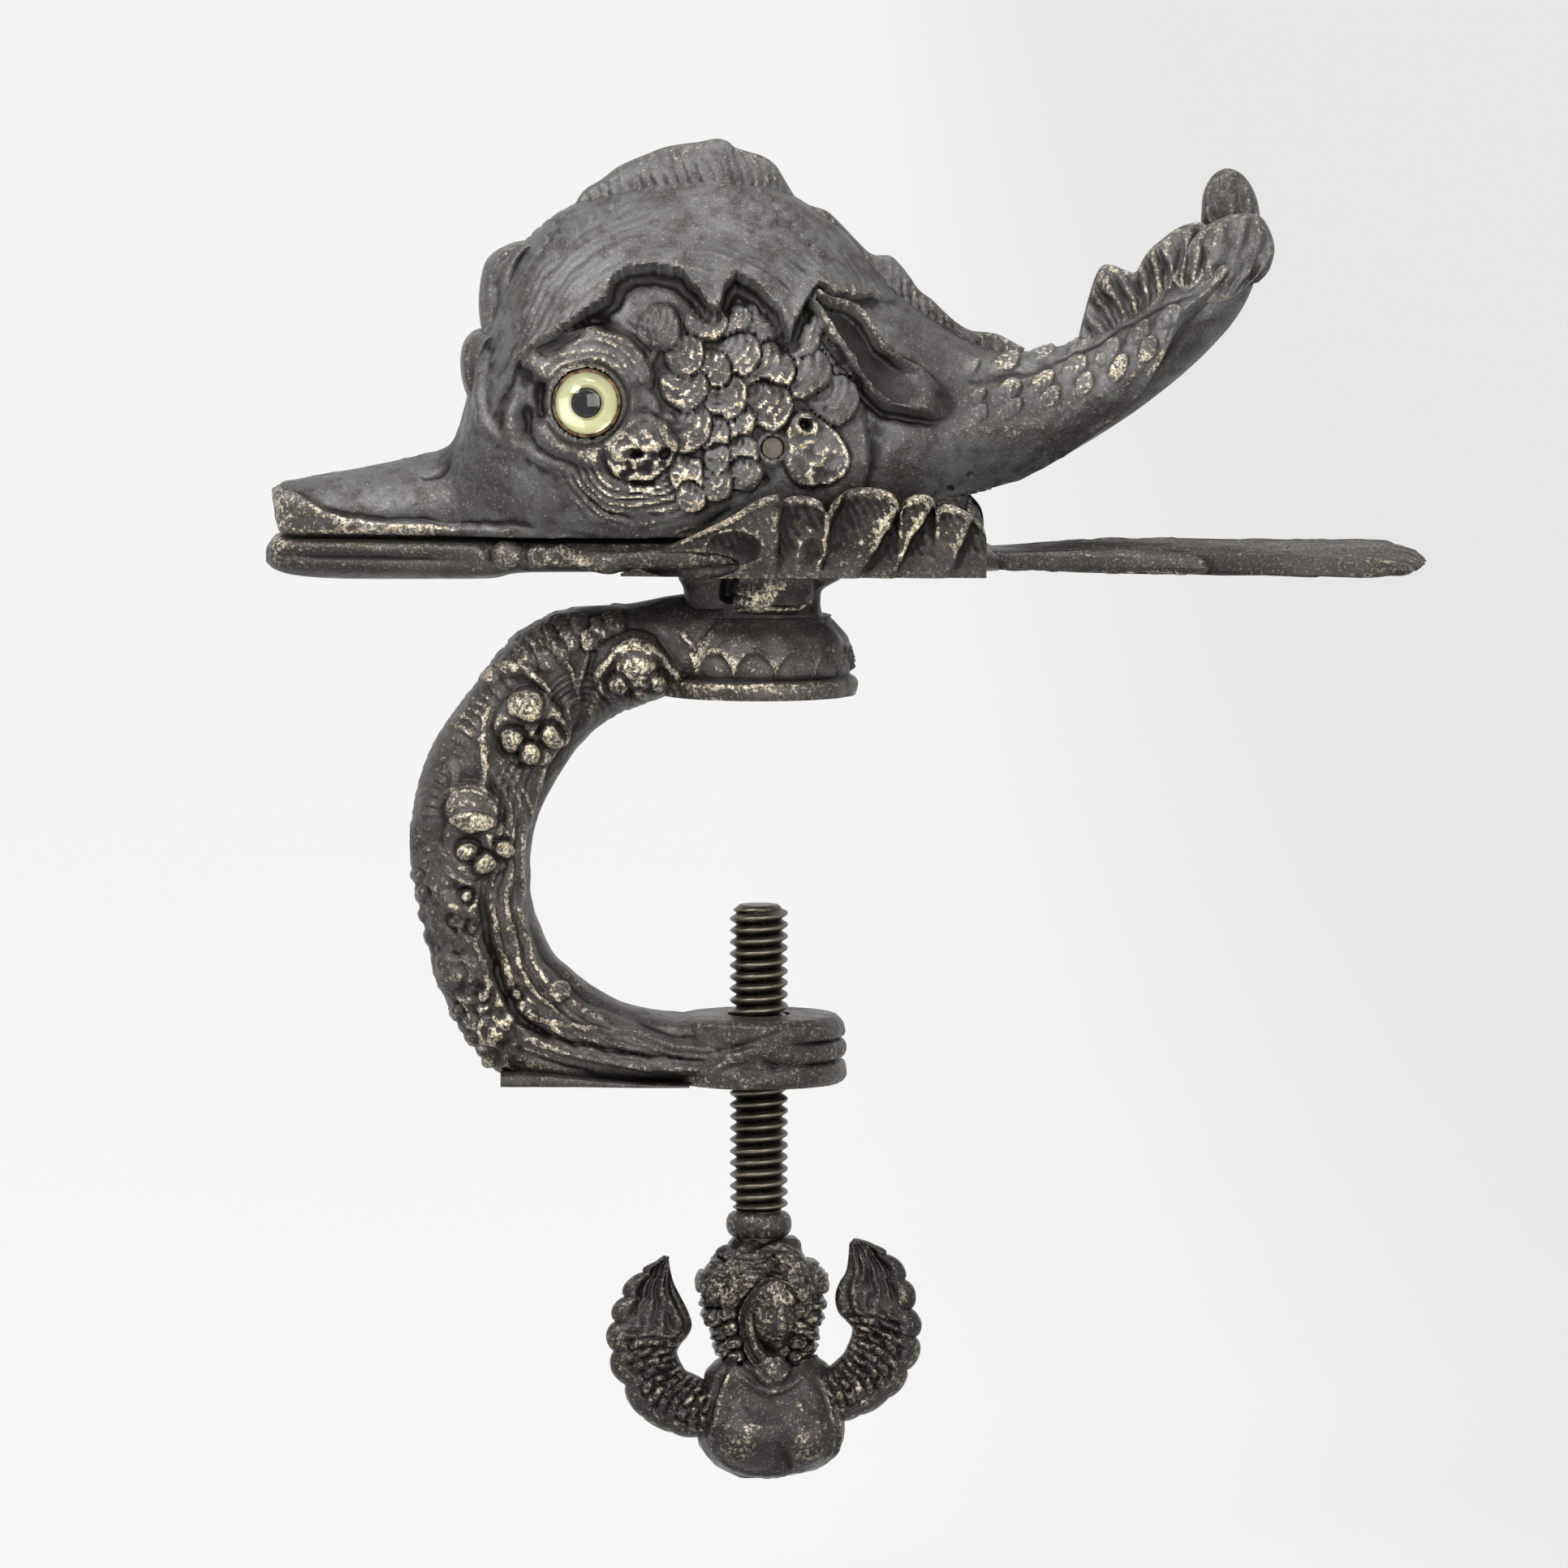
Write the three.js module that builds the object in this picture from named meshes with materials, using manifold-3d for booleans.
// Figural sewing clamp: a sprung fish head and tail on a table clamp with a screw.
// Millimetres, +Z up, +X towards the fish's tail. The origin is the centre of the flat
// underside of the clamp's pad, on the axis of the clamp screw.
import * as THREE from 'three';
import { mergeVertices } from 'three/addons/utils/BufferGeometryUtils.js';
import Module from 'manifold-3d';

const wasm = await Module();
wasm.setup();

// Clamp screw
const screwDiameter = 6.35;
const screwPitch = 1.27;
const threadDepth = 0.72;
const threadCrestShare = 0.16;
const threadClearance = 0.25;
const threadFlankClearance = 0.12;
const threadSides = 12;
const screwLength = 33.5;
const screwTipDrop = 22.8;
const threadLead = 0.2;
const threadRunoutShare = 0.34;
const tipChamfer = 0.1;

// Collar ring and the bust handle
const collarHeight = 2.8;
const collarDiameter = 7.2;
const collarBoreClearance = 0.1;
const tenonDiameter = 4.4;
const tenonDepth = 4;
const handleSpan = 34.1;
const handleDrop = 26.3;
const bustDepth = 12.4;
const collarRound = 0.7;
const sirenTailThickness = 5.4;
const tailLobes = 9;
const lobeDepth = 0.7;
const faceSize = [6.4, 5, 8.6];
const chestSize = [6.2, 4.6, 6];
const facePlaceShares = [0.09, -0.34];
const faceSinkShare = 0.3;
const chestPlaceShares = [[-0.16, -0.83], [0.26, -0.83]];
const chestSinkShare = 0.22;
const ringletDiameter = 2.9;
const hairRollSize = [6.6, 4.4, 3];
const curlDepthShare = 0.3;
const hairRollDepthShare = 0.62;

// Clamp frame
const throatHeight = 34.7;
const armReach = 37.9;
const armDepth = 15.2;
const bossDiameter = 19;
const bossHeight = 7.5;
const padDiameter = 21.4;
const padHeight = 8.8;
const neckLength = 13.8;
const neckDepth = 12;
const neckFlare = 1.4;
const neckCentre = 0.6;
const tongueLength = 8.8;
const tongueCentre = 2.6;
const tongueRelief = 0.7;
const slotWidth = 1.4;
const slotDepth = 1.2;
const footLength = 17;
const footThickness = 1.3;
const footReach = 28;
const rollDepth = 0.7;
const berryDiameter = 3;
const berriesAround = 4;
const berryRingShare = 1.35;
const berrySinkShare = 0.3;
const berryTurn = 23;
const slotShares = [0.12, 0.7];
const footDepthShare = 0.96;
const armUpperPower = 2.3;
const armLowerPower = 2.6;
const strandSides = 18;
const strandHeight = 0.9;
const hoodDiameter = 8.4;
const hoodHeight = 1.2;

// Lower casting: jaw, floor, pectoral fins and fan tail
const floorBottom = 13.8;
const floorTop = 17.6;
const jawReach = 53.4;
const floorHalfWidth = 13.2;
const floorBack = 26;
const fanOrigin = 12;
const fanRadius = 60.5;
const fanHalfAngle = 19.5;
const fanThickness = 2.1;
const fanRidge = 0.55;
const fanRidges = 9;
const fanScallop = 1.3;
const finFront = 22;
const finBack = 24.7;
const finRise = 10;
const finThickness = 2;
const finFlare = 4.2;
const pleatDepth = 1.1;
const pleats = 8;
const pleatFootShare = 0.35;
const finFootHalfWidth = 14.6;
const bossBallDiameter = 3.8;
const earThickness = 3.4;
const earGap = 9.6;
const earWidth = 7.4;
const earHeadRoom = 3.4;

// Upper casting: beak, hollow head, back and tail
const mouthHeight = 18;
const beakReach = 52.5;
const bodyLength = 108.3;
const bodyRise = 39.1;
const bodyHalfWidth = 15.5;
const shellWall = 2.2;
const pressAngle = 10.5;
const dorsalThickness = 2.6;
const tailFinThickness = 2.4;
const flukeThickness = 3.6;
const flukeOffset = 2.2;
const crestThickness = 9;
const browThickness = 13;
const maneThickness = 1.3;
const hornThickness = 3;
const hornSpread = 12.6;
const wartDiameter = 7.2;
const wartHeight = 1.7;
const wartPlaceShares = [0.364, 0.273];
const gillDiameter = 6.4;
const gillHeight = 0.9;
const gillPlaceShares = [0.54, 0.261];
const scaleDiameter = 5.4;
const scaleHeight = 0.95;
const scaleTiltShare = 0.16;
const foldWidth = 1.7;
const foldHeight = 1;
const foldSteps = 5;
const taperShare = 0.4;
const edgeRound = 0.45;

// Hinge pin
const pinDiameter = 2.2;
const pinPlace = 1.5;
const pinHeight = 28;
const pinClearance = 0.06;
const pinProud = 0.15;
const pinBossDiameter = 6;
const pinBossGap = 0.5;

// Leaf spring and its rivet
const springWidth = 7;
const springThickness = 0.7;
const springFoot = 18.5;
const springBend = 9;
const springBendRadius = 2.6;
const springLean = 45;
const springLeaf = 10.2;
const springRoom = 0.8;
const springSideRoom = 1;
const rivetPlace = 14;
const rivetDiameter = 2.4;
const rivetHeadDiameter = 4.2;
const rivetHeadHeight = 1;
const fastenerClearance = 0.1;

// Screw that holds the lower casting on the neck
const holdScrewDiameter = 4;
const holdScrewHeadDiameter = 7;
const holdScrewHeadHeight = 2;
const holdScrewLength = 12.5;
const holdScrewSlot = 1;
const headEdgeShare = 0.7;
const headFlatShare = 0.8;
const seatGap = 0.05;

// Glass eyes
const eyeDiameter = 7.3;
const eyePlace = -18.8;
const eyeHeight = 32.7;
const eyeFace = 14.1;
const eyeDome = 2.1;
const beddingWall = 0.35;
const beddingDepth = 2.9;
const beddingFloor = 0.7;
const irisThickness = 0.8;
const pupilDiameter = 3;
const pupilThickness = 0.45;
const glassGap = 0.05;
const lidWidth = 1.1;
const eyeLidProud = 0.5;

// Every cut runs past the faces that it opens by this much.
const overrun = 2;
const roundSides = 16;
const sectionSides = 16;
const hollowSides = 10;
const ballRowShare = 0.6;

const degree = Math.PI / 180;
const castMetal = finish(0x2e2a26, 0.5, 0.8);
const steel = finish(0x4a4743, 0.4, 0.9);
const springSteel = finish(0x3c4048, 0.35, 0.9);
const enamel = finish(0xd9dc93, 0.35, 0);
const blackGlass = finish(0x08090b, 0.1, 0);
const clearGlass = finish(0xf2f4e6, 0.05, 0);
const cement = finish(0x6b4a2c, 0.9, 0);

function finish(color, roughness, metalness) {
  return new THREE.MeshStandardMaterial({ color, roughness, metalness });
}

// A closed geometry becomes a solid whose faces point out.
function solid(geometry) {
  const bare = geometry.index ? geometry.toNonIndexed() : geometry.clone();
  bare.deleteAttribute('normal');
  bare.deleteAttribute('uv');
  const merged = mergeVertices(bare, 1e-5);
  const places = merged.attributes.position.array;
  const corners = merged.index.array;
  const faces = [];
  for (let i = 0; i < corners.length; i += 3) {
    const [a, b, c] = [corners[i], corners[i + 1], corners[i + 2]];
    if (a !== b && b !== c && c !== a) faces.push(a, b, c);
  }
  if (signedVolume(places, faces) < 0) faces.reverse();
  return new wasm.Manifold(new wasm.Mesh({
    numProp: 3,
    vertProperties: new Float32Array(places),
    triVerts: new Uint32Array(faces),
  }));
}

function signedVolume(places, faces) {
  let sum = 0;
  const corner = (i) => new THREE.Vector3().fromArray(places, faces[i] * 3);
  for (let i = 0; i < faces.length; i += 3) {
    sum += corner(i).dot(corner(i + 1).cross(corner(i + 2)));
  }
  return sum;
}

function joined(first, ...others) {
  return others.reduce((whole, piece) => whole.add(piece), first);
}

function cutFrom(first, ...cutters) {
  return cutters.reduce((whole, piece) => whole.subtract(piece), first);
}

function named(name, body, material) {
  const data = body.getMesh();
  const geometry = new THREE.BufferGeometry();
  geometry.setAttribute('position', new THREE.BufferAttribute(new Float32Array(data.vertProperties), 3));
  geometry.setIndex(new THREE.BufferAttribute(new Uint32Array(data.triVerts), 1));
  geometry.computeVertexNormals();
  const mesh = new THREE.Mesh(geometry, material);
  mesh.name = name;
  return mesh;
}

// A closed skin over rings of points, each end shut by a fan from its own centre.
function ringSkin(rings) {
  const places = [];
  const faces = [];
  const count = rings[0].length;
  rings.forEach((ring) => ring.forEach((point) => places.push(point.x, point.y, point.z)));
  for (let i = 0; i + 1 < rings.length; i += 1) {
    for (let k = 0; k < count; k += 1) {
      const a = i * count + k;
      const b = i * count + ((k + 1) % count);
      faces.push(a, b, b + count, a, b + count, a + count);
    }
  }
  [0, rings.length - 1].forEach((row) => {
    const centre = new THREE.Vector3();
    rings[row].forEach((point) => centre.addScaledVector(point, 1 / count));
    const hub = places.length / 3;
    places.push(centre.x, centre.y, centre.z);
    for (let k = 0; k < count; k += 1) {
      const a = row * count + k;
      const b = row * count + ((k + 1) % count);
      if (row === 0) faces.push(a, hub, b);
      else faces.push(a, b, hub);
    }
  });
  const geometry = new THREE.BufferGeometry();
  geometry.setAttribute('position', new THREE.Float32BufferAttribute(places, 3));
  geometry.setIndex(faces);
  return geometry;
}

// One cross section between an upper point a and a lower point b of the side view. It swells
// to half the depth at the widest share of the way from b to a, and its two powers square it.
function section({ a, b, half, widest = 0.5, upper = 2, lower = 2, y = 0 }, sides = sectionSides) {
  const ring = [];
  const middle = b.clone().lerp(a, widest);
  for (let k = 0; k < sides; k += 1) {
    const turn = ((k + 0.5) / sides) * 2 * Math.PI;
    const rise = Math.sin(turn);
    const power = rise > 0 ? upper : lower;
    const side = Math.sign(Math.cos(turn)) * Math.abs(Math.cos(turn)) ** (2 / power);
    const reach = Math.abs(rise) ** (2 / power);
    const place = middle.clone().lerp(rise > 0 ? a : b, reach);
    ring.push(new THREE.Vector3(place.x, y + half * side, place.y));
  }
  return ring;
}

function loft(stations, sides) {
  return solid(ringSkin(stations.map((station) => section(station, sides))));
}

// A smooth run of points through a few chosen ones.
function smooth(points, steps) {
  return new THREE.SplineCurve(points).getPoints(steps);
}

// A flat plate whose outline lies in the side view, centred on y, with softened edges.
function plate(outline, thickness, y = 0, soft = edgeRound) {
  const geometry = new THREE.ExtrudeGeometry(new THREE.Shape(outline), {
    depth: thickness - 2 * soft,
    bevelEnabled: soft > 0,
    bevelSize: soft,
    bevelOffset: -soft,
    bevelThickness: soft,
    bevelSegments: 1,
    curveSegments: 6,
  });
  geometry.rotateX(Math.PI / 2);
  geometry.translate(0, y + thickness / 2 - soft, 0);
  return solid(geometry);
}

// A revolved body on an upright axis. Its profile is a list of radius and height pairs.
function turned(profile, sides = roundSides) {
  const points = profile.map(([radius, height]) => new THREE.Vector2(radius, height));
  const geometry = new THREE.LatheGeometry(points, sides);
  geometry.rotateX(Math.PI / 2);
  return geometry;
}

function rod(radius, low, high, sides = roundSides) {
  return turned([[0, low], [radius, low], [radius, high], [0, high]], sides);
}

function ball(radius, x, y, z, sides = 8) {
  const geometry = new THREE.SphereGeometry(radius, sides, Math.ceil(sides * ballRowShare));
  geometry.translate(x, y, z);
  return geometry;
}

// A dome on a skin, where `place` is its middle and `out` the way out: half of it stands out.
function knob({ place, out }, width, height, sides = 5) {
  const geometry = ball(1, 0, 0, 0, sides);
  geometry.scale(width / 2, height, width / 2);
  geometry.applyQuaternion(new THREE.Quaternion().setFromUnitVectors(new THREE.Vector3(0, 1, 0), out));
  geometry.translate(place.x, place.y, place.z);
  return geometry;
}

// A ridge over a run of places on a skin, tapered to both ends.
function ridge(places, width, height, sides = 4) {
  const last = places.length - 1;
  return ringSkin(places.map(({ place, out }, i) => {
    const ahead = places[Math.min(i + 1, last)].place.clone().sub(places[Math.max(i - 1, 0)].place);
    const across = ahead.cross(out).normalize();
    const grown = Math.sin(((i + taperShare) / (last + 2 * taperShare)) * Math.PI) ** 0.5;
    return Array.from({ length: sides }, (_, k) => {
      const turn = (k / sides) * 2 * Math.PI;
      return place.clone()
        .addScaledVector(across, (width / 2) * grown * Math.cos(turn))
        .addScaledVector(out, height * grown * Math.sin(turn));
    });
  }));
}

// The same carving on both sides, the second one mirrored.
function bothSides(geometry) {
  return [1, -1].map((side) => solid(geometry.clone().scale(1, side, 1)));
}

// A rod whose skin is a true helical thread. It starts and ends as a plain root cylinder, and
// the thread grows out of it over a part of a turn at each end. The crest of the first full turn
// starts at angle zero, so a rod and a hole that start at whole pitches apart mesh.
function threadedRod({ rootRadius, crestRadius, crestWidth, low, turns, lead }) {
  const count = threadSides;
  const rows = turns * count;
  const places = [];
  const faces = [];
  const add = (radius, angle, height) => {
    places.push(radius * Math.cos(angle), radius * Math.sin(angle), height);
    return places.length / 3 - 1;
  };
  const root = (i) => add(rootRadius, (i / count) * 2 * Math.PI, low + lead + (i / count) * screwPitch);
  const roots = Array.from({ length: rows + count + 1 }, (_, i) => root(i));
  const crests = Array.from({ length: rows + 1 }, (_, i) => {
    const grown = Math.min(1, i / count / threadRunoutShare, (rows - i) / count / threadRunoutShare);
    const radius = rootRadius + (crestRadius - rootRadius) * grown;
    const angle = (i / count) * 2 * Math.PI;
    const foot = low + lead + (i / count) * screwPitch;
    const under = foot + screwPitch / 2 - crestWidth / 2;
    return [add(radius, angle, under), add(radius, angle, under + crestWidth)];
  });
  for (let i = 0; i < rows; i += 1) {
    const [a, b] = [roots[i], roots[i + 1]];
    const [c, d] = [crests[i][0], crests[i + 1][0]];
    const [e, f] = [crests[i][1], crests[i + 1][1]];
    const [g, h] = [roots[i + count], roots[i + 1 + count]];
    faces.push(a, b, d, a, d, c, c, d, f, c, f, e, e, f, h, e, h, g);
  }
  closeThreadEnd(0, low, false);
  closeThreadEnd(rows, low + 2 * lead + (turns + 1) * screwPitch, true);

  // The end is a ring on the root cylinder with a flat disc over it.
  function closeThreadEnd(start, height, top) {
    const ring = Array.from({ length: count }, (_, k) => add(rootRadius, (k / count) * 2 * Math.PI, height));
    const hub = add(0, 0, height);
    const face = (a, b, c) => (top ? faces.push(a, c, b) : faces.push(a, b, c));
    for (let k = 0; k < count; k += 1) {
      face(ring[k], hub, ring[(k + 1) % count]);
    }
    const edge = Array.from({ length: count + 1 }, (_, k) => roots[start + k]);
    const skipped = top ? 0 : count - 1;
    for (let k = 0; k < count; k += 1) {
      const next = ring[(k + 1) % count];
      if (k !== skipped) {
        face(ring[k], next, edge[k + 1]);
        face(ring[k], edge[k + 1], edge[k]);
      }
    }
    const step = [edge[0], crests[start][0], crests[start][1], edge[count]];
    const hinge = top ? ring[1] : edge[count - 1];
    const fan = top ? [edge[1], ...step, ring[0]] : [ring[count - 1], ring[0], ...step];
    for (let k = 0; k + 1 < fan.length; k += 1) face(hinge, fan[k], fan[k + 1]);
  }

  const geometry = new THREE.BufferGeometry();
  geometry.setAttribute('position', new THREE.Float32BufferAttribute(places, 3));
  geometry.setIndex(faces);
  return geometry;
}

// Places in the side view of the upper casting, in shares of its length and rise.
function castingPoint([along, up]) {
  return new THREE.Vector2(along * bodyLength - beakReach, mouthHeight + up * bodyRise);
}

// Upper casting stations: along and up of the top, along and up of the bottom, half width,
// level of the widest place, and the squareness of the upper and lower halves.
const beakShares = [
  [0.001, 0.105, 0.001, 0.025, 0.2, 0.4, 2, 2],
  [0.008, 0.135, 0.008, -0.01, 0.31, 0.35, 2, 3],
  [0.03, 0.145, 0.03, -0.02, 0.4, 0.3, 2, 4],
  [0.09, 0.176, 0.09, -0.02, 0.45, 0.25, 2, 4],
  [0.147, 0.21, 0.147, -0.02, 0.5, 0.25, 2, 4],
];
const headShares = [
  [0.176, 0.24, 0.176, -0.03, 0.55, 0.3, 2, 3],
  [0.19, 0.34, 0.19, -0.05, 0.6, 0.32, 2, 2.6],
  [0.2, 0.47, 0.203, -0.08, 0.66, 0.34, 2, 2.4],
  [0.213, 0.6, 0.218, -0.1, 0.74, 0.34, 2, 2.3],
  [0.24, 0.71, 0.245, -0.13, 0.84, 0.36, 2.1, 2.2],
  [0.285, 0.83, 0.285, -0.15, 0.93, 0.36, 2.1, 2.2],
  [0.342, 0.905, 0.342, -0.15, 0.985, 0.38, 2, 2.2],
  [0.416, 0.945, 0.416, -0.15, 1, 0.39, 1.9, 2.2],
  [0.481, 0.93, 0.481, -0.14, 0.995, 0.39, 1.85, 2.2],
  [0.538, 0.85, 0.534, -0.12, 0.96, 0.4, 1.8, 2.2],
  [0.591, 0.735, 0.587, -0.07, 0.87, 0.42, 1.75, 2.1],
];
const tailShares = [
  [0.644, 0.62, 0.644, 0, 0.76, 0.44, 1.7, 2],
  [0.692, 0.535, 0.701, 0.095, 0.64, 0.46, 1.6, 1.9],
  [0.741, 0.495, 0.762, 0.15, 0.54, 0.46, 1.6, 1.8],
  [0.79, 0.515, 0.823, 0.245, 0.46, 0.46, 1.6, 1.8],
  [0.831, 0.57, 0.88, 0.353, 0.4, 0.48, 1.6, 1.8],
  [0.872, 0.64, 0.929, 0.467, 0.36, 0.5, 1.6, 1.8],
  [0.904, 0.71, 0.965, 0.58, 0.32, 0.5, 1.7, 1.8],
  [0.925, 0.765, 0.984, 0.685, 0.26, 0.5, 1.8, 1.8],
  [0.945, 0.785, 0.98, 0.74, 0.16, 0.5, 2, 2],
];

function castingStation([topAlong, topUp, lowAlong, lowUp, width, widest, upper, lower], grown = 0) {
  const a = castingPoint([topAlong, topUp]);
  const b = castingPoint([lowAlong, lowUp]);
  a.y += grown;
  return { a, b, half: width * bodyHalfWidth + grown, widest, upper, lower };
}

// Half the width of the head over a place in the side view, from the two stations beside it.
function flankHalf(x, z) {
  const along = (x + beakReach) / bodyLength;
  const rows = [...beakShares, ...headShares, ...tailShares];
  const next = rows.findIndex(([start]) => start >= along);
  const share = (along - rows[next - 1][0]) / (rows[next][0] - rows[next - 1][0]);
  const [, top, , low, width, widest, upper, lower] = rows[next].map((value, i) => (
    THREE.MathUtils.lerp(rows[next - 1][i], value, share)
  ));
  const up = (z - mouthHeight) / bodyRise;
  const middle = THREE.MathUtils.lerp(low, top, widest);
  const [edge, power] = up > middle ? [top, upper] : [low, lower];
  const reach = Math.min(1, (up - middle) / (edge - middle));
  return width * bodyHalfWidth * (1 - reach ** power) ** (1 / power);
}

// The place on the flank over a point of the side view, and the way out of the skin there.
function flankPlace({ x, y: z }) {
  const step = edgeRound;
  const half = flankHalf(x, z);
  const fall = [(half - flankHalf(x + step, z)) / step, (half - flankHalf(x, z + step)) / step];
  return {
    place: new THREE.Vector3(x, half, z),
    out: new THREE.Vector3(fall[0], 1, fall[1]).normalize(),
  };
}

// Room over the leaf spring and its rivet, also when the tail is pressed down on them.
function springPocket() {
  const rivetTop = floorTop + 2 * seatGap + springThickness + rivetHeadHeight;
  const roof = (x) => rivetTop + springRoom + (x - pinPlace) * Math.tan(pressAngle * degree);
  const front = springBend - springBendRadius - springThickness - springRoom;
  const back = springFoot + springRoom;
  const { x: tipX, z: tipZ } = leafTip();
  const outline = [
    [front, floorTop - overrun], [back, floorTop - overrun], [back, roof(back)],
    [tipX + springRoom, roof(tipX)], [tipX + springRoom, tipZ + springThickness],
    [tipX - springRoom, tipZ + springThickness], [front, roof(tipX)],
  ];
  const depth = springWidth + 2 * springSideRoom;
  return plate(outline.map(([x, z]) => new THREE.Vector2(x, z)), depth, 0, 0);
}

// The hollow follows the head one wall inside, and its roof comes down behind the hinge.
function hollow() {
  const roofShares = [0.36, 0.55, 0.72, 0.8, 0.85, 0.82, 0.7, 0.44, 0.3];
  const stations = [...headShares.slice(3), tailShares[0]].map((row, i) => {
    const station = castingStation(row);
    station.a = castingPoint([row[0], roofShares[i]]);
    station.b.y -= shellWall;
    station.half -= shellWall;
    station.widest = 0.5;
    return station;
  });
  return loft(stations, hollowSides);
}

// What the closed mouth and the room for pressing the tail take off the casting's underside.
function underCut() {
  const back = tailShares[1];
  const pivotShare = (pinPlace + beakReach) / bodyLength;
  const rise = (back[2] - pivotShare) * bodyLength * Math.tan(pressAngle * degree) / bodyRise;
  const outline = [[-0.1, -1], [back[2], -1], [back[2], rise], [pivotShare, 0], [-0.1, 0]];
  return plate(outline.map(castingPoint), 4 * bodyHalfWidth, 0, 0);
}

const dorsalShares = [
  [0.295, 0.8], [0.31, 0.943], [0.342, 1.006], [0.375, 1.044], [0.407, 1.074], [0.444, 1.087],
  [0.46, 1.067], [0.489, 1.044], [0.505, 0.999], [0.515, 0.954], [0.546, 0.893], [0.57, 0.841],
  [0.587, 0.801], [0.615, 0.767], [0.635, 0.728], [0.644, 0.672], [0.668, 0.616], [0.697, 0.555],
  [0.721, 0.548], [0.745, 0.508], [0.73, 0.42], [0.619, 0.5], [0.538, 0.7], [0.416, 0.8],
];
const tailFinShares = [
  [0.8, 0.48], [0.811, 0.564], [0.823, 0.649], [0.835, 0.733], [0.851, 0.728], [0.863, 0.717],
  [0.88, 0.78], [0.908, 0.846], [0.933, 0.857], [0.95, 0.8], [0.896, 0.6], [0.83, 0.47],
];
const farFlukeShares = [
  [0.927, 0.8], [0.929, 0.931], [0.941, 0.983], [0.955, 1], [0.973, 0.97], [0.984, 0.909],
  [0.987, 0.83], [0.965, 0.72], [0.93, 0.7],
];
const nearFlukeShares = [
  [0.9, 0.72], [0.92, 0.84], [0.945, 0.875], [0.969, 0.884], [0.986, 0.875], [0.995, 0.837],
  [1, 0.785], [0.995, 0.728], [0.984, 0.69], [0.94, 0.64],
];
const crestShares = [
  [0.257, 0.7], [0.257, 0.774], [0.249, 0.794], [0.236, 0.798], [0.22, 0.776], [0.212, 0.751],
  [0.205, 0.695], [0.204, 0.627], [0.209, 0.537], [0.24, 0.5],
];
const browShares = [
  [0.225, 0.54], [0.204, 0.555], [0.193, 0.546], [0.185, 0.51], [0.186, 0.458], [0.194, 0.401],
  [0.204, 0.356], [0.225, 0.34],
];
const maneShares = [
  [0.18, 1.2], [0.18, 0.6], [0.212, 0.537], [0.242, 0.469], [0.257, 0.514], [0.293, 0.582],
  [0.334, 0.634], [0.346, 0.69], [0.375, 0.722], [0.403, 0.704], [0.425, 0.654], [0.44, 0.604],
  [0.448, 0.645], [0.46, 0.695], [0.485, 0.661], [0.505, 0.604], [0.517, 0.548], [0.525, 0.604],
  [0.538, 0.649], [0.57, 0.62], [0.59, 0.68], [0.59, 1.2],
];
const hornShares = [
  [0.535, 0.68, 0.527, 0.6, 0.4], [0.57, 0.65, 0.56, 0.56, 0.8], [0.595, 0.59, 0.578, 0.5, 1],
  [0.612, 0.5, 0.597, 0.43, 1], [0.645, 0.43, 0.632, 0.36, 0.9], [0.668, 0.41, 0.662, 0.352, 0.7],
  [0.682, 0.38, 0.679, 0.356, 0.35],
];

function mane() {
  const grown = [...headShares, tailShares[0]].map((row) => castingStation(row, maneThickness));
  const outline = plate(maneShares.map(castingPoint), 4 * bodyHalfWidth, 0, 0);
  return loft(grown).intersect(outline);
}

// The mane's last lock curls off the flank as a horn on each side.
function horn(side) {
  const stations = hornShares.map(([topAlong, topUp, lowAlong, lowUp, thick]) => ({
    a: castingPoint([topAlong, topUp]),
    b: castingPoint([lowAlong, lowUp]),
    half: (hornThickness / 2) * thick,
    y: side * hornSpread,
  }));
  return loft(stations, 10);
}

function sidewaysRod(radius, low, high, x, z, sides) {
  const geometry = rod(radius, low, high, sides);
  geometry.rotateX(-Math.PI / 2);
  geometry.translate(x, 0, z);
  return solid(geometry);
}

// Round sockets for the eyes: a lid ring and a boss behind it, and a blind hole for the glass.
const socketRadius = eyeDiameter / 2 + beddingWall + 2 * glassGap;
const socketFloor = eyeFace - beddingDepth - seatGap;

function eyeLid(side) {
  const outer = socketRadius + lidWidth;
  const profile = [
    [0, socketFloor - shellWall], [outer, socketFloor - shellWall], [outer, eyeFace - eyeLidProud],
    [outer - lidWidth / 2, eyeFace + eyeLidProud], [socketRadius - seatGap, eyeFace + eyeLidProud / 2],
    [0, eyeFace + eyeLidProud / 2],
  ];
  const geometry = turned(profile);
  geometry.rotateX(-Math.PI / 2 * side);
  geometry.translate(eyePlace, 0, eyeHeight);
  return solid(geometry);
}

function eyeHole(side) {
  const geometry = rod(socketRadius, socketFloor, eyeFace + overrun);
  geometry.rotateX(-Math.PI / 2 * side);
  geometry.translate(eyePlace, 0, eyeHeight);
  return solid(geometry);
}

function pinBoss(side) {
  const outer = bodyHalfWidth - shellWall;
  const inner = earGap / 2 + earThickness + pinBossGap;
  const [low, high] = side > 0 ? [inner, outer] : [-outer, -inner];
  return sidewaysRod(pinBossDiameter / 2, low, high, pinPlace, pinHeight, 14);
}

// Folds over and under the eye and along the gill's edge.
const foldShares = [
  [
    [0.24, 0.266], [0.244, 0.397], [0.267, 0.501], [0.303, 0.561], [0.342, 0.588], [0.372, 0.546],
    [0.381, 0.473],
  ],
  [[0.254, 0.273], [0.277, 0.225], [0.306, 0.2], [0.334, 0.225]],
  [[0.577, 0.51], [0.589, 0.374], [0.582, 0.239], [0.565, 0.144]],
];
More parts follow.
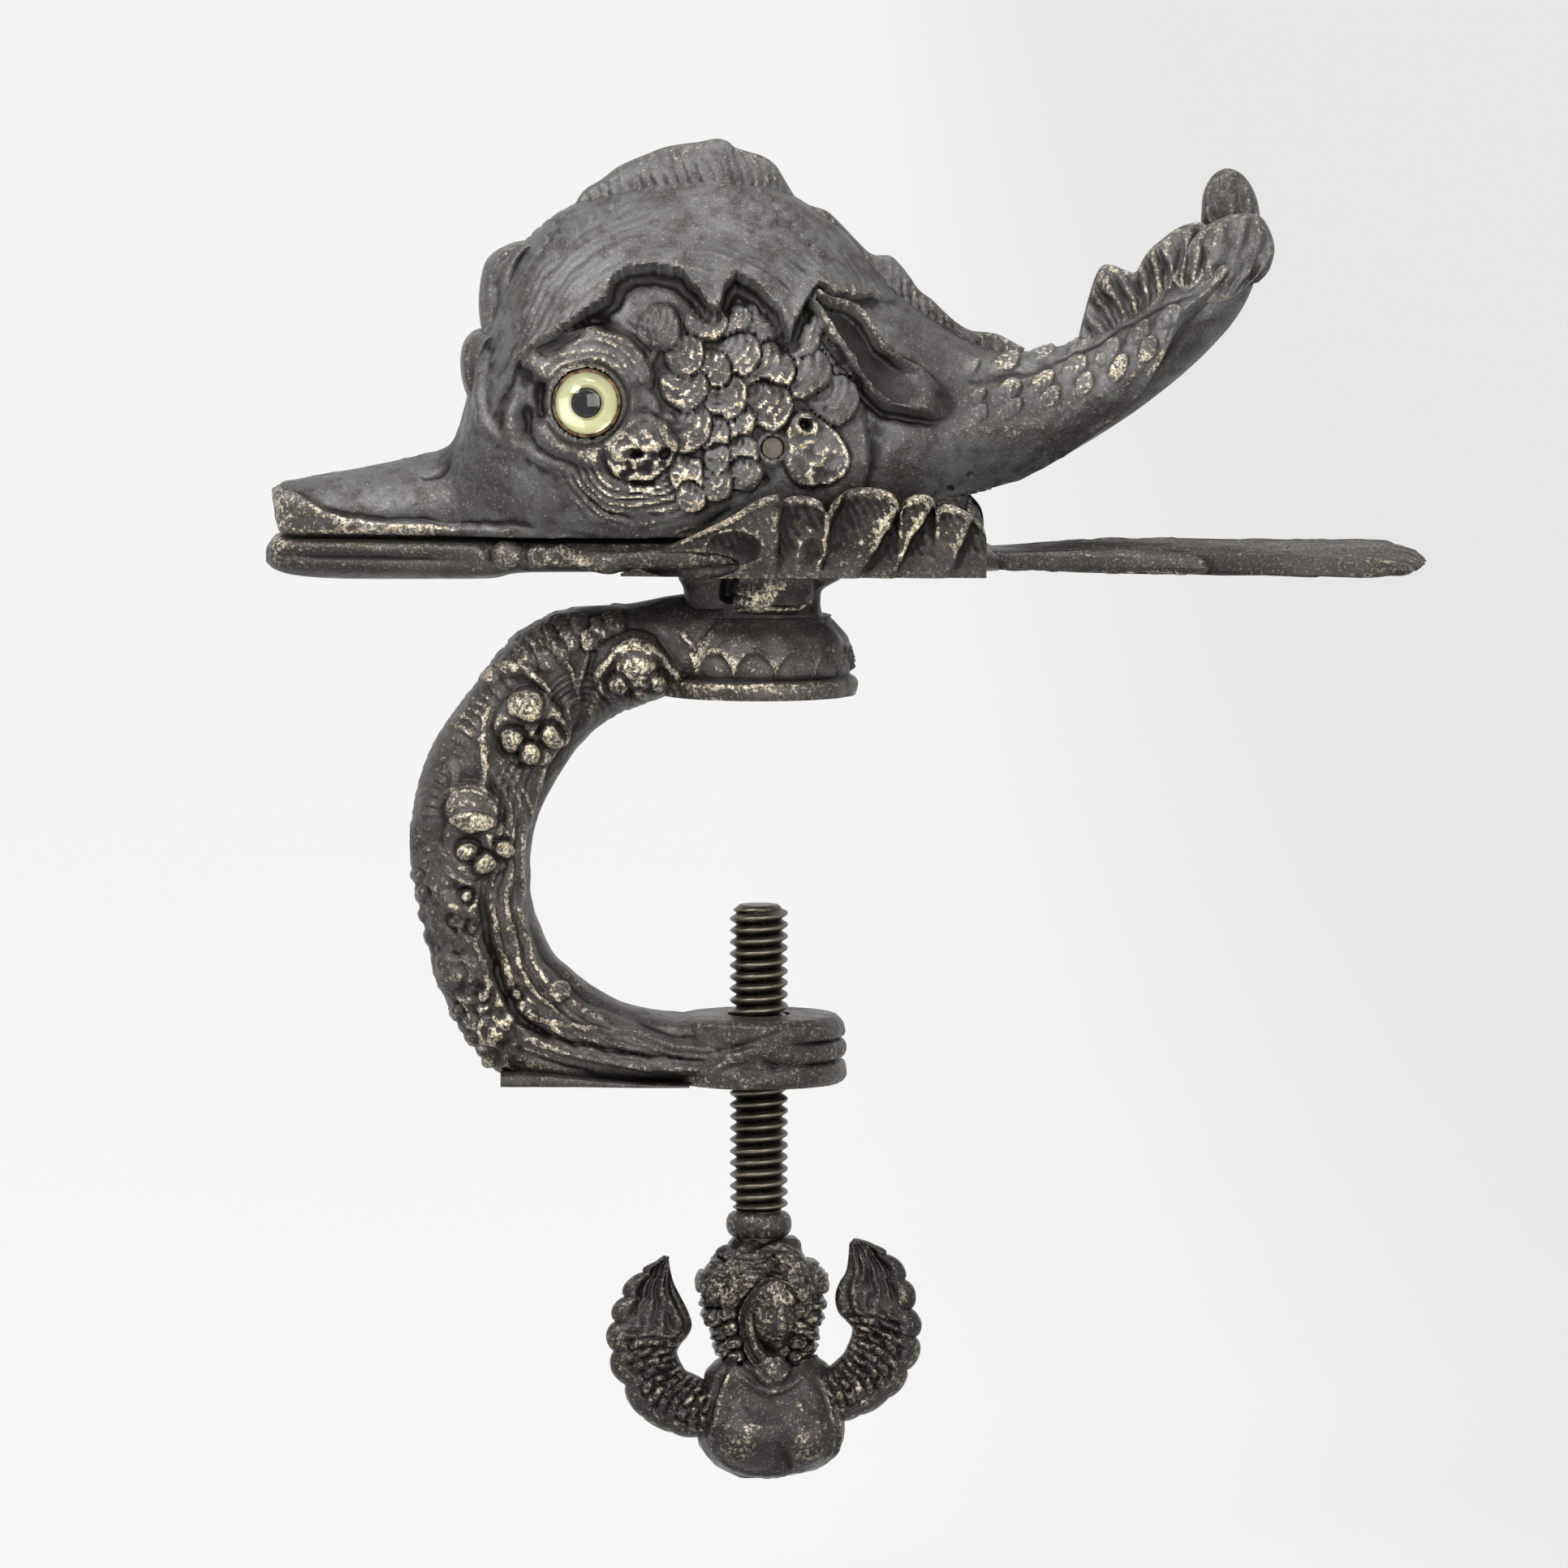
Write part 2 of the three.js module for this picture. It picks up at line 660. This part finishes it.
// The largest scales of the cheek, from the gill forwards.
const cheekScaleShares = [
  [0.55, 0.45], [0.512, 0.54], [0.488, 0.43], [0.452, 0.52], [0.452, 0.38], [0.417, 0.43],
  [0.424, 0.29], [0.46, 0.21],
];

function headCarving() {
  const folds = foldShares.map((line) => {
    const run = smooth(line.map(castingPoint), foldSteps);
    return ridge(run.map(flankPlace), foldWidth, foldHeight);
  });
  const scales = cheekScaleShares.map((spot) => {
    const { place, out } = flankPlace(castingPoint(spot));
    out.x -= scaleTiltShare;
    return knob({ place, out: out.normalize() }, scaleDiameter, scaleHeight);
  });
  const wart = knob(flankPlace(castingPoint(wartPlaceShares)), wartDiameter, wartHeight, 8);
  const gill = knob(flankPlace(castingPoint(gillPlaceShares)), gillDiameter, gillHeight, 6);
  return [...folds, ...scales, wart, gill].flatMap(bothSides);
}

function upperCasting() {
  const stations = [...beakShares, ...headShares, ...tailShares].map((row) => castingStation(row));
  const outside = joined(
    loft(stations),
    mane(),
    plate(dorsalShares.map(castingPoint), dorsalThickness),
    plate(tailFinShares.map(castingPoint), tailFinThickness),
    plate(farFlukeShares.map(castingPoint), flukeThickness, flukeOffset),
    plate(nearFlukeShares.map(castingPoint), flukeThickness, -flukeOffset),
    plate(crestShares.map(castingPoint), crestThickness, 0, 2 * edgeRound),
    plate(browShares.map(castingPoint), browThickness, 0, 2 * edgeRound),
    horn(1),
    horn(-1),
    ...headCarving(),
  );
  const shell = cutFrom(outside, hollow());
  const fitted = joined(shell, eyeLid(1), eyeLid(-1), pinBoss(1), pinBoss(-1));
  const reach = bodyHalfWidth + overrun;
  const pinHole = sidewaysRod((pinDiameter + pinClearance) / 2, -reach, reach, pinPlace, pinHeight, 16);
  const cuts = [underCut(), springPocket(), eyeHole(1), eyeHole(-1), pinHole];
  return named('upper_casting', cutFrom(fitted, ...cuts), castMetal);
}

// A closed slab between an upper and a lower grid of points with the same rows and columns.
function slab(rows, columns, upper, lower) {
  const places = [];
  const faces = [];
  const width = columns + 1;
  [upper, lower].forEach((grid) => {
    for (let i = 0; i <= rows; i += 1) {
      for (let j = 0; j <= columns; j += 1) places.push(...grid(i / rows, j / columns));
    }
  });
  const under = (rows + 1) * width;
  const quad = (a, b, c, d) => faces.push(a, b, c, a, c, d);
  for (let i = 0; i < rows; i += 1) {
    for (let j = 0; j < columns; j += 1) {
      const a = i * width + j;
      quad(a, a + width, a + width + 1, a + 1);
      quad(under + a, under + a + 1, under + a + width + 1, under + a + width);
    }
  }
  const border = [];
  for (let j = 0; j < columns; j += 1) border.push(j);
  for (let i = 0; i < rows; i += 1) border.push(i * width + columns);
  for (let j = columns; j > 0; j -= 1) border.push(rows * width + j);
  for (let i = rows; i > 0; i -= 1) border.push(i * width);
  border.forEach((a, i) => {
    const b = border[(i + 1) % border.length];
    quad(a, b, under + b, under + a);
  });
  const geometry = new THREE.BufferGeometry();
  geometry.setAttribute('position', new THREE.Float32BufferAttribute(places, 3));
  geometry.setIndex(faces);
  return solid(geometry);
}

// The value of a table of pairs at a place between its first and last entry.
function between(shares, place) {
  const next = shares.findIndex(([start]) => start >= place);
  if (next <= 0) return shares[Math.max(next, 0)][1];
  const [[a, low], [b, high]] = [shares[next - 1], shares[next]];
  return low + ((high - low) * (place - a)) / (b - a);
}

// Jaw and floor stations: along, half width, and top and bottom in floor thicknesses.
const jawShares = [
  [0, 0.22, 0.62, 0.2], [0.013, 0.42, 0.95, 0], [0.043, 0.52, 1, -0.16], [0.106, 0.59, 1, -0.24],
  [0.232, 0.65, 1, -0.24], [0.307, 0.73, 1, -0.21], [0.345, 0.8, 1, -0.05], [0.42, 0.92, 1, 0],
  [0.57, 1, 1, 0], [0.736, 1, 1, 0], [0.862, 0.95, 1, 0], [0.95, 0.78, 1, 0], [1, 0.5, 0.9, 0],
];

function jawAndFloor() {
  const length = jawReach + floorBack;
  const depth = floorTop - floorBottom;
  const stations = jawShares.map(([along, width, top, bottom]) => {
    const x = along * length - jawReach;
    return {
      a: new THREE.Vector2(x, floorBottom + top * depth),
      b: new THREE.Vector2(x, floorBottom + bottom * depth),
      half: width * floorHalfWidth,
      upper: 6,
      lower: 4,
    };
  });
  return loft(stations);
}

// The fan tail spreads flat from a point under the body, with a ridge and a rim lobe each.
function fanTail() {
  const start = floorBack - fanOrigin - overrun;
  const swell = (across) => Math.abs(Math.sin(across * fanRidges * Math.PI));
  const place = (out, across) => {
    const angle = (2 * across - 1) * fanHalfAngle * degree;
    const rim = fanRadius - fanScallop * (1 - swell(across));
    const radius = start + out * (rim - start);
    return [fanOrigin + radius * Math.cos(angle), radius * Math.sin(angle)];
  };
  const root = floorTop - floorBottom - fanRidge;
  const upper = (out, across) => {
    const thick = root + (fanThickness - root) * Math.sqrt(out);
    return [...place(out, across), floorBottom + thick + fanRidge * swell(across)];
  };
  const lower = (out, across) => [...place(out, across), floorBottom];
  return slab(2, fanRidges * 4, upper, lower);
}

// Height of the pectoral fin along its foot.
const finRiseShares = [
  [0, 0.12], [0.04, 0.34], [0.12, 0.3], [0.197, 0.27], [0.31, 0.45], [0.405, 0.72], [0.49, 0.9],
  [0.53, 0.93], [0.6, 0.82], [0.64, 0.73], [0.68, 0.97], [0.745, 1], [0.785, 0.82], [0.8, 0.92],
  [0.85, 0.83], [0.9, 0.8], [0.95, 0.7], [1, 0.42],
];

// Pleated pectoral fin on one side, flaring outwards as it rises.
function pectoralFin(side) {
  const skin = (inset) => (along, up) => {
    const rise = between(finRiseShares, along);
    const grown = pleatFootShare + (1 - pleatFootShare) * up;
    const fold = Math.abs(Math.sin(along * pleats * Math.PI)) * pleatDepth * grown;
    const flare = finFlare * rise * up ** 1.5;
    const x = along * (finFront + finBack) - finFront;
    const y = side * (finFootHalfWidth - inset + flare + fold * rise);
    return [x, y, floorBottom + up * rise * finRise];
  };
  return slab(pleats * 3, 2, skin(0), skin(finThickness));
}

// Upright ears inside the head, round over the pin.
function ear(side) {
  const outline = [];
  const steps = 8;
  for (let i = 0; i <= steps; i += 1) {
    const turn = (i / steps) * Math.PI;
    const x = pinPlace + (earWidth / 2) * Math.cos(turn);
    const z = pinHeight + earHeadRoom - (earWidth / 2) * (1 - Math.sin(turn));
    outline.push(new THREE.Vector2(x, z));
  }
  outline.push(new THREE.Vector2(pinPlace - earWidth / 2, floorBottom + overrun));
  outline.push(new THREE.Vector2(pinPlace + earWidth / 2, floorBottom + overrun));
  return plate(outline, earThickness, side * (earGap + earThickness) / 2, 0);
}

function lowerCasting() {
  const ballPlace = jawShares[5];
  const ballX = ballPlace[0] * (jawReach + floorBack) - jawReach + bossBallDiameter / 2;
  const ballZ = (floorBottom + floorTop) / 2;
  const balls = [1, -1].map((side) => (
    solid(ball(bossBallDiameter / 2, ballX, side * ballPlace[1] * floorHalfWidth, ballZ, 6))
  ));
  const whole = joined(
    jawAndFloor(), fanTail(), pectoralFin(1), pectoralFin(-1), ear(1), ear(-1), ...balls,
  );
  const reach = earGap / 2 + earThickness + overrun;
  const pinHole = sidewaysRod(pinDiameter / 2 + pinClearance, -reach, reach, pinPlace, pinHeight, 16);
  const screwHole = rod(holdScrewDiameter / 2 + fastenerClearance, floorBottom - overrun, floorTop + overrun);
  const rivetHole = rod(rivetDiameter / 2 + fastenerClearance, floorBottom - overrun, floorTop + overrun);
  rivetHole.translate(rivetPlace, 0, 0);
  return named('lower_casting', cutFrom(whole, pinHole, solid(screwHole), solid(rivetHole)), castMetal);
}

function hingePin() {
  const half = bodyHalfWidth + pinProud;
  return named('hinge_pin', sidewaysRod(pinDiameter / 2, -half, half, pinPlace, pinHeight, 16), steel);
}

// Leaf spring: a flat foot towards the tail, a round bend behind the hinge and a straight
// leaf that leans up against the roof of the hollow. Each station has x, z and its turn.
function springStations() {
  const ground = floorTop + seatGap + springThickness / 2;
  const steps = 8;
  const bend = Array.from({ length: steps + 1 }, (_, i) => {
    const turn = (i / steps) * (180 - springLean) * degree;
    const x = springBend - springBendRadius * Math.sin(turn);
    return { x, z: ground + springBendRadius * (1 - Math.cos(turn)), turn };
  });
  const { x, z, turn } = bend[steps];
  const tip = { x: x - springLeaf * Math.cos(turn), z: z + springLeaf * Math.sin(turn), turn };
  return [{ x: springFoot, z: ground, turn: 0 }, ...bend, tip];
}

function leafTip() {
  return springStations().at(-1);
}

function leafSpring() {
  const half = springThickness / 2;
  const rings = springStations().map(({ x, z, turn }) => {
    const [over, out] = [half * Math.cos(turn), half * Math.sin(turn)];
    return [[-1, 1], [1, 1], [1, -1], [-1, -1]].map(([side, face]) => (
      new THREE.Vector3(x + face * out, (side * springWidth) / 2, z + face * over)
    ));
  });
  const hole = rod(rivetDiameter / 2 + fastenerClearance, floorTop - overrun, floorTop + overrun);
  hole.translate(rivetPlace, 0, 0);
  return named('leaf_spring', cutFrom(solid(ringSkin(rings)), solid(hole)), springSteel);
}

function springRivet() {
  const top = floorTop + 2 * seatGap + springThickness;
  const geometry = turned([
    [0, floorBottom], [rivetDiameter / 2, floorBottom], [rivetDiameter / 2, top],
    [rivetHeadDiameter / 2, top],
    [(headFlatShare * rivetHeadDiameter) / 2, top + headEdgeShare * rivetHeadHeight],
    [0, top + rivetHeadHeight],
  ], 14);
  geometry.translate(rivetPlace, 0, 0);
  return named('spring_rivet', solid(geometry), steel);
}

function mountingScrew() {
  const seat = floorTop + seatGap;
  const body = turned([
    [0, floorTop - holdScrewLength], [holdScrewDiameter / 2, floorTop - holdScrewLength],
    [holdScrewDiameter / 2, seat], [holdScrewHeadDiameter / 2, seat],
    [holdScrewHeadDiameter / 2, seat + holdScrewHeadHeight / 2],
    [(headFlatShare * holdScrewHeadDiameter) / 2, seat + holdScrewHeadHeight],
    [0, seat + holdScrewHeadHeight],
  ], 16);
  const slot = new THREE.BoxGeometry(2 * holdScrewHeadDiameter, holdScrewSlot, holdScrewHeadHeight);
  slot.translate(0, 0, seat + holdScrewHeadHeight);
  return named('mounting_screw', cutFrom(solid(body), solid(slot)), steel);
}

// Arm stations of the clamp frame: outer edge and inner edge, along in shares of the reach
// from the screw's axis and up in shares of the throat's height, and the half depth.
const armShares = [
  [-0.1, 0.25, -0.1, 0.03, 0.9], [-0.232, 0.262, -0.232, 0.012, 0.92],
  [-0.38, 0.292, -0.345, -0.028, 0.94], [-0.546, 0.29, -0.43, -0.075, 0.97],
  [-0.68, 0.2, -0.5, -0.14, 1], [-0.778, 0.08, -0.552, -0.213, 1],
  [-0.942, -0.172, -0.628, -0.374, 1], [-1, -0.451, -0.652, -0.552, 1],
  [-0.976, -0.655, -0.645, -0.66, 0.98], [-0.908, -0.934, -0.594, -0.8, 0.96],
  [-0.842, -1.07, -0.54, -0.86, 0.96], [-0.757, -1.178, -0.47, -0.92, 0.96],
  [-0.6, -1.214, -0.36, -0.977, 0.97],
  [-0.26, -1.208, -0.2, -1.003, 1], [-0.05, -1.208, -0.05, -1.003, 1],
];
const padShares = [
  [0, 0], [0.95, 0], [1, 0.05], [1, 0.2], [0.955, 0.24], [0.97, 0.42], [0.92, 0.68], [0.79, 0.9],
  [0.72, 1], [0, 1],
];
const neckShares = [[0, 0], [0.68, 0], [0.88, 0.5], [1, 1]];

function framePoint(along, up) {
  return new THREE.Vector2(along * armReach, up * throatHeight);
}

// The arm, with strands of seaweed as ribs along it: every other point of a section lies deeper.
function arm() {
  const rings = armShares.map(([outAlong, outUp, inAlong, inUp, depth], i) => {
    const ring = section({
      a: framePoint(outAlong, outUp),
      b: framePoint(inAlong, inUp),
      half: (depth * armDepth) / 2,
      upper: armUpperPower,
      lower: armLowerPower,
    }, strandSides);
    const sunk = strandHeight * Math.sin((i / (armShares.length - 1)) * Math.PI);
    ring.filter((_, k) => k % 2 > 0).forEach((point) => {
      point.y -= Math.sign(point.y) * Math.min(sunk, Math.abs(point.y) / 2);
    });
    return ring;
  });
  return solid(ringSkin(rings));
}

// The place on the arm's face at a share of the run along its stations and a share of the way
// from its inner to its outer edge.
function armPlace([run, across]) {
  const spot = run * (armShares.length - 1);
  const before = Math.floor(spot);
  const [outAlong, outUp, inAlong, inUp, depth] = armShares[before].map((value, i) => (
    THREE.MathUtils.lerp(value, armShares[before + 1][i], spot - before)
  ));
  const point = framePoint(inAlong, inUp).lerp(framePoint(outAlong, outUp), across);
  const power = across > 0.5 ? armUpperPower : armLowerPower;
  const half = ((depth * armDepth) / 2) * (1 - Math.abs(2 * across - 1) ** power) ** (1 / power);
  return { place: new THREE.Vector3(point.x, half, point.y), out: new THREE.Vector3(0, 1, 0) };
}

// Boss with three rolls round it, one above the other.
function boss() {
  const rolls = 3;
  const steps = rolls * 3;
  const low = -throatHeight - bossHeight;
  const rim = Array.from({ length: steps + 1 }, (_, i) => {
    const swell = Math.abs(Math.sin((i / steps) * rolls * Math.PI));
    return [bossDiameter / 2 - rollDepth * (1 - swell), low + (i / steps) * bossHeight];
  });
  return solid(turned([[0, low], ...rim, [0, -throatHeight]], 22));
}

// Neck between the pad and the lower casting, with a raised tongue between two slots a side.
function neck() {
  const rise = floorBottom - seatGap - padHeight;
  const sections = [[-0.25, 0], ...neckShares.map(([up, flare]) => [up, flare])];
  const body = loft(sections.map(([up, flare]) => {
    const half = neckLength / 2 + flare * neckFlare;
    const z = padHeight + up * rise;
    return {
      a: new THREE.Vector2(neckCentre - half, z),
      b: new THREE.Vector2(neckCentre + half, z),
      half: neckDepth / 2 + flare * neckFlare / 2,
      upper: 5,
      lower: 5,
    };
  }), 18);
  const [low, high] = slotShares.map((share) => padHeight + rise * share);
  const block = (middle, length, depth) => {
    const geometry = new THREE.BoxGeometry(length, depth, high - low);
    geometry.translate(middle, 0, (low + high) / 2);
    return solid(geometry);
  };
  const slots = [1, -1].flatMap((end) => [1, -1].map((side) => {
    const geometry = new THREE.BoxGeometry(slotWidth, 2 * slotDepth, high - low);
    const middle = tongueCentre + (end * (tongueLength + slotWidth)) / 2;
    geometry.translate(middle, (side * neckDepth) / 2, (low + high) / 2);
    return solid(geometry);
  }));
  return cutFrom(joined(body, block(tongueCentre, tongueLength, neckDepth + 2 * tongueRelief)), ...slots);
}

// Clusters of berries on both faces of the arm, each on a hooded dome: run, across and size.
const clusterShares = [[0.143, 0.32, 1], [0.357, 0.47, 1.15], [0.474, 0.46, 1]];

function berries() {
  return clusterShares.flatMap(([run, across, size]) => {
    const { place, out } = armPlace([run, across]);
    const radius = (berryDiameter / 2) * size;
    const hood = knob({ place, out }, hoodDiameter * size, hoodHeight * size, 7);
    const round = Array.from({ length: berriesAround }, (_, i) => {
      const turn = (i / berriesAround) * 2 * Math.PI + berryTurn * degree;
      const x = place.x + berryRingShare * radius * Math.cos(turn);
      const z = place.z + berryRingShare * radius * Math.sin(turn);
      return ball(radius, x, place.y + radius * berrySinkShare, z, 5);
    });
    return [hood, ...round].flatMap(bothSides);
  });
}

function foot() {
  const low = -throatHeight - bossHeight;
  const outline = [
    [-footReach, low], [footLength - footReach, low], [footLength - footReach, low + footThickness],
    [-footReach + footThickness, low + footThickness],
  ];
  return plate(outline.map(([x, z]) => new THREE.Vector2(x, z)), armDepth * footDepthShare, 0, edgeRound / 2);
}

const rootRadius = screwDiameter / 2 - threadDepth;
const screwLow = -screwTipDrop - screwLength;

function threadHole() {
  const start = -throatHeight - bossHeight - overrun;
  const skipped = Math.floor((start - screwLow - threadLead) / screwPitch) - 1;
  return solid(threadedRod({
    rootRadius: rootRadius + threadClearance,
    crestRadius: screwDiameter / 2 + threadClearance,
    crestWidth: threadCrestShare * screwPitch + 2 * threadFlankClearance,
    low: screwLow + skipped * screwPitch,
    turns: Math.ceil((bossHeight + 2 * overrun) / screwPitch) + 3,
    lead: threadLead,
  }));
}

function clampFrame() {
  const pad = turned(padShares.map(([out, up]) => [(out * padDiameter) / 2, up * padHeight]), 24);
  const whole = joined(arm(), solid(pad), neck(), boss(), foot(), ...berries());
  const bottom = floorTop - holdScrewLength - 3 * fastenerClearance;
  const screwHole = solid(rod(holdScrewDiameter / 2 + fastenerClearance, bottom, floorBottom + overrun));
  return named('clamp_frame', cutFrom(whole, screwHole, threadHole()), castMetal);
}

// Screw with its helical thread, a plain tip and a tenon down into the handle.
function screwRod() {
  const turns = Math.floor((screwLength - 2 * threadLead) / screwPitch) - 1;
  const thread = threadedRod({
    rootRadius,
    crestRadius: screwDiameter / 2,
    crestWidth: threadCrestShare * screwPitch,
    low: screwLow,
    turns,
    lead: threadLead,
  });
  const top = screwLow + 2 * threadLead + (turns + 1) * screwPitch;
  const inner = rootRadius - fastenerClearance;
  const tip = turned([
    [0, top - threadLead], [inner, top - threadLead], [inner, -screwTipDrop - tipChamfer],
    [inner - tipChamfer, -screwTipDrop], [0, -screwTipDrop],
  ], threadSides);
  const tenonLow = screwLow - collarHeight - tenonDepth;
  const tenon = rod(tenonDiameter / 2, tenonLow, screwLow + threadLead, threadSides);
  return named('screw_rod', joined(solid(thread), solid(tip), solid(tenon)), steel);
}

const handleTop = screwLow - collarHeight;

function screwCollar() {
  const bore = tenonDiameter / 2 + collarBoreClearance;
  const outer = collarDiameter / 2;
  const low = handleTop + seatGap;
  const high = screwLow - seatGap;
  const steps = 5;
  const bead = Array.from({ length: steps + 1 }, (_, i) => {
    const turn = (i / steps) * Math.PI;
    const radius = outer - collarRound * (1 - Math.sin(turn));
    return [radius, (low + high) / 2 - ((high - low) / 2) * Math.cos(turn)];
  });
  const ring = turned([[bore, low], ...bead, [bore, high], [bore, low]], 16);
  return named('screw_collar', solid(ring), castMetal);
}

// Bust stations: down from the top, left and right edge, and half depth.
const bustShares = [
  [0, -0.2, 0.19, 0.5], [-0.044, -0.305, 0.31, 0.72], [-0.127, -0.355, 0.35, 0.9],
  [-0.228, -0.37, 0.36, 1], [-0.362, -0.3, 0.33, 0.96], [-0.496, -0.26, 0.316, 0.8],
  [-0.563, -0.3, 0.36, 0.72],
  [-0.614, -0.345, 0.45, 0.74], [-0.698, -0.38, 0.5, 0.82], [-0.798, -0.409, 0.52, 0.92],
  [-0.9, -0.372, 0.5, 0.86], [-0.966, -0.264, 0.4, 0.62], [-1, -0.12, 0.28, 0.35],
];
// Scaly tail of the siren: outer edge, inner edge and half thickness.
const sirenTailShares = [
  [-0.331, -0.899, -0.305, -0.664, 1], [-0.564, -0.865, -0.409, -0.637, 1],
  [-0.797, -0.795, -0.512, -0.57, 1], [-0.926, -0.681, -0.548, -0.52, 0.95],
  [-0.98, -0.53, -0.54, -0.47, 0.9], [-0.98, -0.379, -0.43, -0.385, 0.85],
  [-0.953, -0.262, -0.45, -0.3, 0.78], [-0.89, -0.178, -0.53, -0.195, 0.6],
  [-0.787, -0.101, -0.59, -0.114, 0.42], [-0.683, -0.07, -0.631, -0.08, 0.25],
];

function handlePoint(side, along, up) {
  return new THREE.Vector2((side * along * handleSpan) / 2, handleTop + up * handleDrop);
}

function sirenTail(side) {
  const steps = tailLobes * 2;
  const outer = smooth(sirenTailShares.map(([along, up]) => handlePoint(side, along, up)), steps);
  const inner = smooth(sirenTailShares.map((row) => handlePoint(side, row[2], row[3])), steps);
  const thick = sirenTailShares.map((row, i) => [i / (sirenTailShares.length - 1), row[4]]);
  const stations = outer.map((edge, i) => {
    const swell = Math.abs(Math.sin((i / steps) * tailLobes * Math.PI));
    const push = 1 + lobeDepth * swell / edge.distanceTo(inner[i]);
    return {
      a: inner[i].clone().lerp(edge, push),
      b: inner[i],
      half: (sirenTailThickness / 2) * between(thick, i / steps),
      upper: 2.2,
      lower: 2,
    };
  });
  return loft(stations, 8);
}

function oval([along, up], [width, depth, height], y, sides = 9) {
  const geometry = ball(1, 0, 0, 0, sides);
  const middle = handlePoint(1, along, up);
  geometry.scale(width / 2, depth / 2, height / 2);
  geometry.translate(middle.x, y, middle.y);
  return solid(geometry);
}

// Ringlets beside the face, as a run of round curls on each side, from the top down.
const ringletShares = [
  [-0.355, -0.215], [-0.32, -0.3], [-0.28, -0.385], [-0.235, -0.465],
  [0.39, -0.21], [0.37, -0.3], [0.345, -0.395], [0.315, -0.475],
];
// Rolls of combed hair over the brow: the middle of each one and its tilt.
const hairRollShares = [[-0.16, -0.14, 24], [0.2, -0.13, -30]];

function hair() {
  const curlPlace = (-bustDepth / 2) * curlDepthShare;
  const rollPlace = (-bustDepth / 2) * hairRollDepthShare;
  const curls = ringletShares.map((spot) => {
    const { x, y: z } = handlePoint(1, ...spot);
    return solid(ball(ringletDiameter / 2, x, curlPlace, z, 5));
  });
  const rolls = hairRollShares.map(([along, up, tilt]) => {
    const geometry = ball(1, 0, 0, 0, 6);
    const middle = handlePoint(1, along, up);
    geometry.scale(...hairRollSize.map((size) => size / 2));
    geometry.rotateY(tilt * degree);
    geometry.translate(middle.x, rollPlace, middle.y);
    return solid(geometry);
  });
  return [...curls, ...rolls];
}

function sirenHandle() {
  const bust = loft(bustShares.map(([up, left, right, depth]) => ({
    a: handlePoint(1, left, up),
    b: handlePoint(1, right, up),
    half: (depth * bustDepth) / 2,
  })), 16);
  const front = -bustDepth / 2;
  const face = oval(facePlaceShares, faceSize, front + faceSize[1] * faceSinkShare);
  const swell = front + chestSize[1] * chestSinkShare;
  const chest = chestPlaceShares.map((place) => oval(place, chestSize, swell, 7));
  const whole = joined(bust, sirenTail(1), sirenTail(-1), face, ...chest, ...hair());
  const floor = handleTop - tenonDepth - 3 * fastenerClearance;
  const hole = rod(tenonDiameter / 2 + fastenerClearance, floor, handleTop + overrun, threadSides);
  return named('siren_handle', cutFrom(whole, solid(hole)), castMetal);
}

// The glass eye, stacked outwards: bedding cup, enamelled iris, pupil and clear dome.
function eyePieces(side, word) {
  const outer = eyeDiameter / 2 + beddingWall;
  const inner = eyeDiameter / 2;
  const base = socketFloor + seatGap;
  const rim = eyeFace - eyeLidProud;
  const irisLow = base + beddingFloor + seatGap;
  const irisHigh = irisLow + irisThickness;
  const lensLow = irisHigh + seatGap;
  const lensEdge = rim;
  const lensTop = eyeFace + eyeDome;
  const glass = inner - glassGap;
  const pupil = pupilDiameter / 2;
  const recess = lensLow + pupilThickness + seatGap;
  const steps = 4;
  const dome = Array.from({ length: steps + 1 }, (_, i) => {
    const turn = (i / steps) * (Math.PI / 2);
    return [glass * Math.cos(turn), lensEdge + (lensTop - lensEdge) * Math.sin(turn)];
  });
  const stacks = {
    eye_bedding: [
      [
        [0, base], [outer, base], [outer, rim], [inner, rim],
        [inner, base + beddingFloor], [0, base + beddingFloor],
      ],
      cement,
    ],
    eye_iris: [[[0, irisLow], [glass, irisLow], [glass, irisHigh], [0, irisHigh]], enamel],
    eye_pupil: [
      [[0, lensLow], [pupil, lensLow], [pupil, lensLow + pupilThickness], [0, lensLow + pupilThickness]],
      blackGlass,
    ],
    eye_lens: [
      [
        [0, recess], [pupil + glassGap, recess], [pupil + glassGap, lensLow], [glass, lensLow],
        ...dome.slice(0, -1), [0, lensTop],
      ],
      clearGlass,
    ],
  };
  return Object.entries(stacks).map(([name, [profile, material]]) => {
    const geometry = turned(profile, 16);
    geometry.rotateX((-Math.PI / 2) * side);
    geometry.translate(eyePlace, 0, eyeHeight);
    return named(`${name}_${word}`, solid(geometry), material);
  });
}

const group = new THREE.Group();
group.add(
  clampFrame(),
  lowerCasting(),
  mountingScrew(),
  upperCasting(),
  hingePin(),
  leafSpring(),
  springRivet(),
  ...eyePieces(1, 'left'),
  ...eyePieces(-1, 'right'),
  screwRod(),
  screwCollar(),
  sirenHandle(),
);

export default group;
